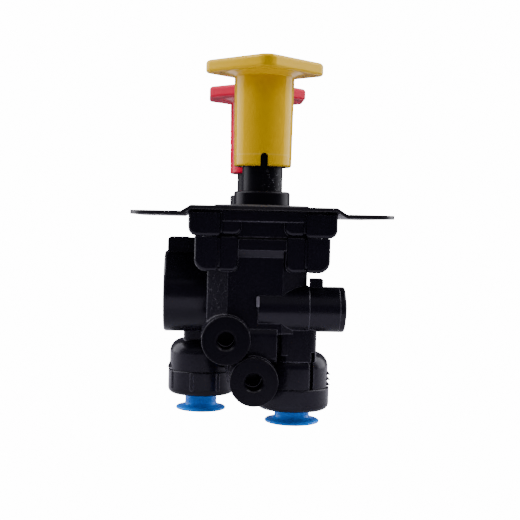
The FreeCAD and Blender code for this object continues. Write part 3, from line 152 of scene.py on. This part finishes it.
cool_white = (0.97, 0.97, 1.0)
soft_light("top_light", 5, (0.8, 0.6), (0, -0.1, 1.2))
soft_light("left_light", 14, (0.85, 1.2), (-0.93, 0.31, 0.42), cool_white)
soft_light("right_light", 13, (0.85, 1.2), (0.94, 0.28, 0.42), cool_white)
soft_light("high_left_light", 11, (0.9, 0.6), (-1.0, -0.15, 1.15))
soft_light("high_right_light", 11, (0.9, 0.6), (1.0, -0.15, 1.15))
soft_light("front_light", 3.5, (3.0, 1.2), (0, -1.3, 1.2))

world = bpy.data.worlds.new("studio")
world.use_nodes = True
scene.world = world
room = world.node_tree
room.nodes.clear()
white_wall = add_node(room, "ShaderNodeBackground", {"Color": (1, 1, 1, 1), "Strength": overexposure})
dim_room = add_node(room, "ShaderNodeBackground", {"Color": (0.80, 0.74, 1.0, 1), "Strength": 0.15})
seen_by = add_node(room, "ShaderNodeLightPath")
room_choice = add_node(room, "ShaderNodeMixShader")
room_output = add_node(room, "ShaderNodeOutputWorld")
wire(
    room,
    (seen_by, "Is Camera Ray", room_choice, "Fac"),
    (dim_room, "Background", room_choice, 1),
    (white_wall, "Background", room_choice, 2),
    (room_choice, "Shader", room_output, "Surface"),
)


# Valve body, upper cover and moulded caps
# One shot each of black glass-filled nylon, with a semi-gloss skin, faint flow marks, and edges lightened by
# a painted highlight with some rubbed wear.
# The cover is screwed down onto the body, and the caps snap or plug into its cylinders.

def new_group(name, inputs, outputs):
    """An empty shader group with named number inputs and outputs, and its two end nodes."""
    group = bpy.data.node_groups.new(name, "ShaderNodeTree")
    for label, value in inputs.items():
        socket = group.interface.new_socket(label, in_out="INPUT", socket_type="NodeSocketFloat")
        socket.default_value = value
    for label in outputs:
        group.interface.new_socket(label, in_out="OUTPUT", socket_type="NodeSocketFloat")
    return group, group.nodes.new("NodeGroupInput"), group.nodes.new("NodeGroupOutput")


# Moulded skin: a fine grain, and soft cloudy patches from the flow of the plastic
moulded_skin, given, result = new_group(
    "moulded_skin", {"Grain Size": 2600.0, "Patch Size": 60.0}, ("Grain", "Patches")
)
where = add_node(moulded_skin, "ShaderNodeTexCoord")
grain = add_node(moulded_skin, "ShaderNodeTexNoise", {"Detail": 3.0, "Roughness": 0.6})
patches = add_node(
    moulded_skin, "ShaderNodeTexNoise", {"Detail": 4.0, "Roughness": 0.55, "Distortion": 0.6}
)
wire(
    moulded_skin,
    (where, "Object", grain, "Vector"),
    (given, "Grain Size", grain, "Scale"),
    (where, "Object", patches, "Vector"),
    (given, "Patch Size", patches, "Scale"),
    (grain, "Fac", result, "Grain"),
    (patches, "Fac", result, "Patches"),
)

# Edge sheen and wear: how far a point lies on an outer edge, broken up by noise; the colour laid there is
# partly a painted highlight, partly rubbed wear
edge_sheen_and_wear, given, result = new_group("edge_sheen_and_wear", {"Noise Size": 500.0, "Amount": 1.0}, ("Mask",))
rounded = add_node(edge_sheen_and_wear, "ShaderNodeBevel", {"Radius": 0.0005}, samples=6)
flat = add_node(edge_sheen_and_wear, "ShaderNodeNewGeometry")
likeness = add_node(edge_sheen_and_wear, "ShaderNodeVectorMath", operation="DOT_PRODUCT")
edge = add_node(edge_sheen_and_wear, "ShaderNodeMapRange", {"From Min": 0.99, "From Max": 0.88})
where = add_node(edge_sheen_and_wear, "ShaderNodeTexCoord")
breaks = add_node(edge_sheen_and_wear, "ShaderNodeTexNoise", {"Detail": 4.0, "Roughness": 0.6})
breaks_range = add_node(edge_sheen_and_wear, "ShaderNodeMapRange", {"From Min": 0.25, "From Max": 0.5})
broken = add_node(edge_sheen_and_wear, "ShaderNodeMath", operation="MULTIPLY")
scaled = add_node(edge_sheen_and_wear, "ShaderNodeMath", operation="MULTIPLY", use_clamp=True)
wire(
    edge_sheen_and_wear,
    (rounded, "Normal", likeness, 0),
    (flat, "Normal", likeness, 1),
    (likeness, "Value", edge, "Value"),
    (where, "Object", breaks, "Vector"),
    (given, "Noise Size", breaks, "Scale"),
    (breaks, "Fac", breaks_range, "Value"),
    (edge, "Result", broken, 0),
    (breaks_range, "Result", broken, 1),
    (broken, "Value", scaled, 0),
    (given, "Amount", scaled, 1),
    (scaled, "Value", result, "Mask"),
)

# Scuffs: fine broken scratches that wander over the surface
scuffs, given, result = new_group("scuffs", {"Scratch Size": 520.0, "Width": 0.035}, ("Mask",))
where = add_node(scuffs, "ShaderNodeTexCoord")
wander = add_node(scuffs, "ShaderNodeTexNoise", {"Scale": 700.0, "Detail": 3.0})
wander_size = add_node(scuffs, "ShaderNodeVectorMath", {"Scale": 0.0016}, operation="SCALE")
wandering = add_node(scuffs, "ShaderNodeVectorMath", operation="ADD")
stretch = add_node(
    scuffs, "ShaderNodeMapping", {"Rotation": (0.3, 0.5, 0.2), "Scale": (1.0, 1.0, 0.55)}
)
cells = add_node(scuffs, "ShaderNodeTexVoronoi", feature="DISTANCE_TO_EDGE")
scratch = add_node(scuffs, "ShaderNodeMapRange", {"To Min": 1.0, "To Max": 0.0})
gaps = add_node(scuffs, "ShaderNodeTexNoise", {"Scale": 900.0, "Detail": 2.0})
gaps_range = add_node(scuffs, "ShaderNodeMapRange", {"From Min": 0.50, "From Max": 0.58})
scratched = add_node(scuffs, "ShaderNodeMath", operation="MULTIPLY", use_clamp=True)
wire(
    scuffs,
    (where, "Object", wander, "Vector"),
    (wander, "Color", wander_size, 0),
    (where, "Object", stretch, "Vector"),
    (stretch, "Vector", wandering, 0),
    (wander_size, "Vector", wandering, 1),
    (wandering, "Vector", cells, "Vector"),
    (given, "Scratch Size", cells, "Scale"),
    (cells, "Distance", scratch, "Value"),
    (given, "Width", scratch, "From Max"),
    (where, "Object", gaps, "Vector"),
    (gaps, "Fac", gaps_range, "Value"),
    (scratch, "Result", scratched, 0),
    (gaps_range, "Result", scratched, 1),
    (scratched, "Value", result, "Mask"),
)

# The places of the colours among a Mix node's sockets, which its other kinds of value share
under, over, mixed = 6, 7, 2


def recolour(tree, shader, colour, giver, giving):
    """Lay a colour over a shader's own, as far as the socket of another node says."""
    mix = add_node(tree, "ShaderNodeMix", {over: (*colour, 1)}, data_type="RGBA")
    wire(tree, (giver, giving, mix, "Factor"))
    tree.links.new(shader.inputs["Base Color"].links[0].from_socket, mix.inputs[under])
    wire(tree, (mix, mixed, shader, "Base Color"))


def scuff_up(material, marks, colour, strength):
    """Scuff a finished plastic round the given points: each mark is a place and how far it reaches."""
    full_share = 0.3
    tree = material.node_tree
    where = add_node(tree, "ShaderNodeTexCoord")
    scratches = add_node(tree, "ShaderNodeGroup", node_tree=scuffs)
    reached = None
    for place, reach in marks:
        away = add_node(tree, "ShaderNodeVectorMath", {1: place}, operation="DISTANCE")
        near = add_node(
            tree, "ShaderNodeMapRange",
            {"From Min": reach * full_share, "From Max": reach, "To Min": strength, "To Max": 0.0},
        )
        wire(tree, (where, "Object", away, 0), (away, "Value", near, "Value"))
        if reached is None:
            reached = near.outputs["Result"]
        else:
            both = add_node(tree, "ShaderNodeMath", operation="MAXIMUM")
            tree.links.new(reached, both.inputs[0])
            wire(tree, (near, "Result", both, 1))
            reached = both.outputs["Value"]
    amount = add_node(tree, "ShaderNodeMath", operation="MULTIPLY", use_clamp=True)
    tree.links.new(reached, amount.inputs[0])
    wire(tree, (scratches, "Mask", amount, 1))
    recolour(tree, tree.nodes["Principled BSDF"], colour, amount, "Value")


def moulded_plastic(name, colour, edge_sheen_wear_colour, roughness, grain_height, edge_radius, sheen_and_wear_amount, **shader_values):
    """A moulded plastic: its colour drifts, its gloss is patchy, and its edges are rounded, rubbed and lit
    by a painted highlight.
    """
    deeper = [channel * 0.82 for channel in colour]
    glossy, dull = roughness * 0.85, roughness * 1.2
    material, tree, shader = new_material(name)
    for label, value in shader_values.items():
        shader.inputs[label.replace("_", " ")].default_value = value
    skin = add_node(tree, "ShaderNodeGroup", node_tree=moulded_skin)
    sheen_and_wear_mask = add_node(tree, "ShaderNodeGroup", {"Amount": sheen_and_wear_amount}, node_tree=edge_sheen_and_wear)
    drift = add_node(
        tree, "ShaderNodeMix", {under: (*deeper, 1), over: (*colour, 1)}, data_type="RGBA"
    )
    gloss = add_node(
        tree, "ShaderNodeMapRange",
        {"From Min": 0.3, "From Max": 0.7, "To Min": glossy, "To Max": dull},
    )
    rounded_edge = add_node(tree, "ShaderNodeBevel", {"Radius": edge_radius}, samples=6)
    bump = add_node(tree, "ShaderNodeBump", {"Strength": 0.35, "Distance": grain_height})
    wire(
        tree,
        (skin, "Patches", drift, "Factor"),
        (drift, mixed, shader, "Base Color"),
        (skin, "Patches", gloss, "Value"),
        (gloss, "Result", shader, "Roughness"),
        (skin, "Grain", bump, "Height"),
        (rounded_edge, "Normal", bump, "Normal"),
        (bump, "Normal", shader, "Normal"),
    )
    # The edge colour laid on here is a painted highlight of the rounded edges, mixed with rubbed wear.
    recolour(tree, shader, edge_sheen_wear_colour, sheen_and_wear_mask, "Mask")
    return material


def dress(material, *names):
    """Give CAD nodes their finish."""
    for name in names:
        mesh = nodes[name].data
        mesh.materials.clear()
        mesh.materials.append(material)


# Its light edge colour is mostly a painted highlight of the rounded edges, with a little rubbed wear.
black_nylon = moulded_plastic(
    "black_nylon", colour=(0.0048, 0.0042, 0.0080), edge_sheen_wear_colour=(0.130, 0.122, 0.150),
    roughness=0.24, grain_height=0.000006, edge_radius=0.0006, sheen_and_wear_amount=0.8,
    IOR=1.45, Specular_IOR_Level=0.27, Specular_Tint=(0.88, 0.84, 1.0, 1),
)
# Scuffed on the column's slanting corner and on the upper front boss
scuff_up(
    black_nylon,
    marks=[
        ((-0.0167, -0.0410, -0.0295), 0.0085),
        ((-0.0165, -0.0400, -0.0360), 0.006),
        ((-0.0170, -0.0510, -0.0500), 0.006),
    ],
    colour=(0.11, 0.105, 0.12), strength=0.8,
)
dress(
    black_nylon, "valve_body", "upper_cover", "left_port_cap", "right_port_cap", "check_cap",
    "tripper_cap",
)


# Ribs and fillets of the body's moulding
# Small marks of the mould, part of the body's and cover's skin: a rib at the end of the small cylinder,
# lighter grey as a painted highlight, and in the same black nylon a rib beside the right port's neck and
# fillets between bosses and gussets.

def soften(shape, edges, radius, steps=3):
    """Round some edges of a shape."""
    bmesh.ops.bevel(
        shape, geom=edges, offset=radius, segments=steps, profile=0.5, affect="EDGES", material=-1
    )


def add_rod(shape, centre, radius, length, sides):
    """Add an upright rod to a shape."""
    bmesh.ops.create_cone(
        shape, cap_ends=True, segments=sides, radius1=radius, radius2=radius, depth=length,
        matrix=Matrix.Translation(centre),
    )


def rising_edges(shape, rising):
    """A shape's edges that rise, or those that are level."""
    level = 0.0001
    return [edge for edge in shape.edges if (abs(edge.verts[0].co.z - edge.verts[1].co.z) > level) == rising]


def new_block(centre, size):
    """A plain block as a new shape."""
    shape = bmesh.new()
    bmesh.ops.create_cube(
        shape, size=1.0, matrix=Matrix.Translation(centre) @ Matrix.Diagonal((*size, 1.0))
    )
    return shape


# The witness rib's light grey nylon is a painted highlight of the rib.
painted_sheen_nylon = moulded_plastic(
    "painted_sheen_nylon", colour=(0.16, 0.15, 0.18), edge_sheen_wear_colour=(0.30, 0.29, 0.32),
    roughness=0.3, grain_height=0.000006, edge_radius=0.0002, sheen_and_wear_amount=0.8, IOR=1.45,
)
witness = bmesh.new()
add_rod(witness, centre=(-0.0012, -0.0452, -0.0336), radius=0.0006, length=0.0040, sides=20)
soften(witness, rising_edges(witness, False), 0.0003)
witness_rib = new_piece("witness_rib", witness, painted_sheen_nylon, smooth=True)
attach(witness_rib, "root")

neck = new_block(centre=(0.0098, -0.0386, -0.0485), size=(0.0034, 0.0039, 0.0120))
soften(neck, rising_edges(neck, True), 0.0008, steps=5)
neck_rib = new_piece("neck_rib", neck, black_nylon)
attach(neck_rib, "root")

# Each row of fillets: its places across and outwards, and the heights of its lower and upper ends
fillet_radius = 0.0008
boss_fillets = (0.01665, 0.0464, -0.0208, -0.0096)
cover_fillets = (0.0159, 0.0470, -0.0078, -0.0006)
fillets = bmesh.new()
for across, out, low, high in (boss_fillets, cover_fillets):
    for side in (-1, 1):
        for end in (-1, 1):
            centre = (across * side, out * end, (high + low) / 2)
            add_rod(fillets, centre, fillet_radius, length=high - low, sides=24)
soften(fillets, rising_edges(fillets, False), 0.0005)
moulding_fillets = new_piece("moulding_fillets", fillets, black_nylon, smooth=True)
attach(moulding_fillets, "root")


# Lips of the cover and web of the key block
# Black nylon too, and moulded on: the cover's edges rise in thin lips that fill the joggles of the plate,
# and a short web ties the key block over the large cylinder to the column.

# The lips' outline: places across and heights
lip_outline = [
    (0.0264, -0.00042), (0.02815, -0.00042), (0.02815, 0.00015), (0.0275, 0.0006), (0.0264, 0.00078),
]
lip_length = 0.095
lips = bmesh.new()
for side in (-1, 1):
    corners = [lips.verts.new((across * side, -lip_length / 2, up)) for across, up in lip_outline]
    near_end = lips.faces.new(corners)
    grown = bmesh.ops.extrude_face_region(lips, geom=[near_end])["geom"]
    far_end = [item for item in grown if isinstance(item, bmesh.types.BMVert)]
    bmesh.ops.translate(lips, verts=far_end, vec=(0, lip_length, 0))
bmesh.ops.recalc_face_normals(lips, faces=lips.faces)
cover_lips = new_piece("cover_lips", lips, black_nylon)
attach(cover_lips, "root")

web = new_block(centre=(-0.0241, 0.004, -0.0138), size=(0.0100, 0.0084, 0.0066))
soften(web, web.edges[:], 0.0005)
key_web = new_piece("key_web", web, black_nylon)
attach(key_web, "root")


# Mounting plate
# Pressed steel sheet with a joggle on each side, punched with four slots and powder coated black.
# Its cut edges are thin, and a painted highlight with a little wear makes them a little bright. The four
# plate screws hold it down on the cover.

plate_coat = moulded_plastic(
    "plate_coat", colour=(0.004, 0.0035, 0.005), edge_sheen_wear_colour=(0.05, 0.05, 0.055),
    roughness=0.36, grain_height=0.00003, edge_radius=0.0003, sheen_and_wear_amount=0.8,
    IOR=1.5, Specular_Tint=(0.95, 0.92, 1.0, 1),
)
dress(plate_coat, "mounting_plate")


# Knobs
# Acetal mouldings, the yellow one square and the red one octagonal, glossy and bright.
# Each is held on its plunger by a roll pin through the skirt.

yellow_acetal = moulded_plastic(
    "yellow_acetal", colour=(0.90, 0.535, 0.0), edge_sheen_wear_colour=(0.95, 0.60, 0.01),
    roughness=0.13, grain_height=0.000006, edge_radius=0.0006, sheen_and_wear_amount=0.3,
    IOR=1.33, Specular_IOR_Level=0.6, Specular_Tint=(1.0, 0.76, 0.08, 1),
)
dress(yellow_acetal, "yellow_knob")

# A faint lighter ring near the yellow skirt's mouth, where the mould parts: a painted highlight along the
# parting line
ring_height = 0.0222
ring_half_width = 0.00035
ring_sheen_strength = 0.13
tree = yellow_acetal.node_tree
where = add_node(tree, "ShaderNodeTexCoord")
height = add_node(tree, "ShaderNodeSeparateXYZ")
on_ring = add_node(
    tree, "ShaderNodeMath", {1: ring_height, 2: ring_half_width}, operation="COMPARE"
)
faint = add_node(tree, "ShaderNodeMath", {1: ring_sheen_strength}, operation="MULTIPLY")
wire(
    tree,
    (where, "Object", height, "Vector"),
    (height, "Z", on_ring, 0),
    (on_ring, "Value", faint, 0),
)
recolour(tree, tree.nodes["Principled BSDF"], (1.0, 0.78, 0.25), faint, "Value")

red_acetal = moulded_plastic(
    "red_acetal", colour=(0.80, 0.003, 0.05), edge_sheen_wear_colour=(0.9, 0.03, 0.09),
    roughness=0.15, grain_height=0.000006, edge_radius=0.0006, sheen_and_wear_amount=0.3,
    IOR=1.3, Specular_IOR_Level=0.3, Specular_Tint=(1.0, 0.3, 0.4, 1),
)
dress(red_acetal, "red_knob")


# Plungers, guides, black collets and exhaust cover
# Black acetal stems, dull and lightly scuffed where they slide, in satin guides that stand on the plate.
# The front ports' collets and the snapped-in exhaust cover have the same satin finish as the guides.

stem_acetal = moulded_plastic(
    "stem_acetal", colour=(0.004, 0.0034, 0.006), edge_sheen_wear_colour=(0.012, 0.011, 0.016),
    roughness=0.36, grain_height=0.00006, edge_radius=0.0004, sheen_and_wear_amount=0.7,
    IOR=1.4, Specular_IOR_Level=0.14, Specular_Tint=(0.9, 0.85, 1.0, 1),
)
scuff_up(
    stem_acetal, marks=[((0.0062, -0.0375, 0.0125), 0.0080)], colour=(0.30, 0.30, 0.33), strength=1.0
)
dress(stem_acetal, "park_plunger", "supply_plunger")
guide_acetal = moulded_plastic(
    "guide_acetal", colour=(0.0035, 0.003, 0.0055), edge_sheen_wear_colour=(0.010, 0.009, 0.014),
    roughness=0.28, grain_height=0.00003, edge_radius=0.0004, sheen_and_wear_amount=0.5,
    IOR=1.4, Specular_IOR_Level=0.16, Specular_Tint=(0.9, 0.85, 1.0, 1),
)
dress(
    guide_acetal, "park_guide", "supply_guide", "upper_port_collet", "lower_port_collet",
    "exhaust_cover",
)


# Blue release collets
# Bright blue acetal sleeves with a bell-shaped flange, turned here round the axis of each CAD collet.
# They slide in the two downward ports and let go of the 3/8 inch tubes when they are pressed in.

blue_acetal = moulded_plastic(
    "blue_acetal", colour=(0.0, 0.24, 1.0), edge_sheen_wear_colour=(0.02, 0.34, 1.0),
    roughness=0.2, grain_height=0.00001, edge_radius=0.0004, sheen_and_wear_amount=0.3,
    IOR=1.48, Specular_IOR_Level=0.3, Specular_Tint=(0.2, 0.6, 1.0, 1),
)
collet_bore = 0.00485
collet_neck = 0.0068
collet_flange = 0.0108
collet_length = 0.0118
flange_height = 0.0019
merge_distance = 0.000001
# The wall's outline: distance from the axis and height over the flange's face
collet_wall = [
    (collet_bore, collet_length),
    (collet_neck - 0.0004, collet_length),
    (collet_neck, collet_length - 0.0006),
    (collet_neck, flange_height + 0.0019),
    (collet_neck + 0.0001, flange_height + 0.0012),
    (collet_neck + 0.0004, flange_height + 0.0006),
    (collet_neck + 0.0009, flange_height + 0.0002),
    (collet_neck + 0.0016, flange_height),
    (collet_flange - 0.0011, flange_height - 0.0001),
    (collet_flange - 0.0004, flange_height - 0.0003),
    (collet_flange - 0.0001, flange_height - 0.0006),
    (collet_flange, flange_height - 0.0009),
    (collet_flange - 0.0002, flange_height - 0.0013),
    (collet_flange - 0.0007, flange_height - 0.0015),
    (collet_neck + 0.0010, 0.0003),
    (collet_neck + 0.0004, 0.0),
    (collet_bore + 0.0006, 0.0),
    (collet_bore + 0.0001, 0.0003),
    (collet_bore, 0.0009),
]
for collet_name in ("left_port_collet", "right_port_collet"):
    lowest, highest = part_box(collet_name)
    middle = ((lowest[0] + highest[0]) / 2, (lowest[1] + highest[1]) / 2, lowest[2])
    sleeve = bmesh.new()
    outline = [
        sleeve.verts.new((middle[0] + reach, middle[1], middle[2] + height)) for reach, height in collet_wall
    ]
    lines = [sleeve.edges.new(ends) for ends in zip(outline, outline[1:] + outline[:1])]
    bmesh.ops.spin(
        sleeve, geom=outline + lines, cent=middle, axis=(0, 0, 1), angle=math.tau, steps=72, use_merge=True
    )
    bmesh.ops.remove_doubles(sleeve, verts=sleeve.verts, dist=merge_distance)
    bmesh.ops.recalc_face_normals(sleeve, faces=sleeve.faces)
    collet = new_piece(collet_name + "_sleeve", sleeve, blue_acetal, smooth=True)
    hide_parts(collet_name)
    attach(collet, collet_name.replace("_port", ""))


# Parts inside
# Turned brass spools, piston and sleeves, springs and rings of spring steel, and zinc-plated screws.
# The seals, the shuttle and the exhaust flap are black rubber, dull and slightly dusty.

def metal(name, colour, roughness, brushed):
    """A bare metal with fine machining marks and a patchy gloss."""
    darker = [channel * 0.75 for channel in colour]
    glossy, dull = roughness * 0.8, roughness * 1.3
    material, tree, shader = new_material(name)
    shader.inputs["Metallic"].default_value = 1.0
    skin = add_node(tree, "ShaderNodeGroup", {"Patch Size": 150.0}, node_tree=moulded_skin)
    where = add_node(tree, "ShaderNodeTexCoord")
    machining = add_node(
        tree, "ShaderNodeTexWave", {"Scale": brushed, "Distortion": 1.5, "Detail": 2.0},
        wave_type="BANDS", bands_direction="Z",
    )
    tone = add_node(
        tree, "ShaderNodeMix", {under: (*darker, 1), over: (*colour, 1)}, data_type="RGBA"
    )
    gloss = add_node(tree, "ShaderNodeMapRange", {"To Min": glossy, "To Max": dull})
    bump = add_node(tree, "ShaderNodeBump", {"Strength": 0.2, "Distance": 0.00002})
    wire(
        tree,
        (where, "Object", machining, "Vector"),
        (skin, "Patches", tone, "Factor"),
        (tone, mixed, shader, "Base Color"),
        (skin, "Patches", gloss, "Value"),
        (gloss, "Result", shader, "Roughness"),
        (machining, "Fac", bump, "Height"),
        (bump, "Normal", shader, "Normal"),
    )
    return material


dress(
    metal("turned_brass", colour=(0.80, 0.58, 0.25), roughness=0.28, brushed=900),
    "park_spool", "supply_spool", "tripper_piston", "upper_port_sleeve", "lower_port_sleeve",
)
dress(
    metal("spring_steel", colour=(0.55, 0.56, 0.58), roughness=0.3, brushed=1500),
    "park_spring", "supply_spring", "tripper_spring", "check_clip", "yellow_knob_pin",
    "red_knob_pin", "left_port_grab_ring", "right_port_grab_ring", "upper_port_grab_ring",
    "lower_port_grab_ring",
)
dress(metal("zinc_plate", colour=(0.62, 0.64, 0.68), roughness=0.35, brushed=700), "plate_screws")
seal_rubber = moulded_plastic(
    "seal_rubber", colour=(0.006, 0.006, 0.006), edge_sheen_wear_colour=(0.012, 0.012, 0.012),
    roughness=0.7, grain_height=0.00004, edge_radius=0.0002, sheen_and_wear_amount=0.2, IOR=1.5,
)
dress(
    seal_rubber, "cover_gasket", "park_stem_seal", "supply_stem_seal", "park_spool_seals",
    "supply_spool_seals", "check_shuttle", "check_cap_seal", "tripper_piston_seal",
    "left_port_seal", "right_port_seal", "upper_port_seal", "lower_port_seal", "exhaust_diaphragm",
)
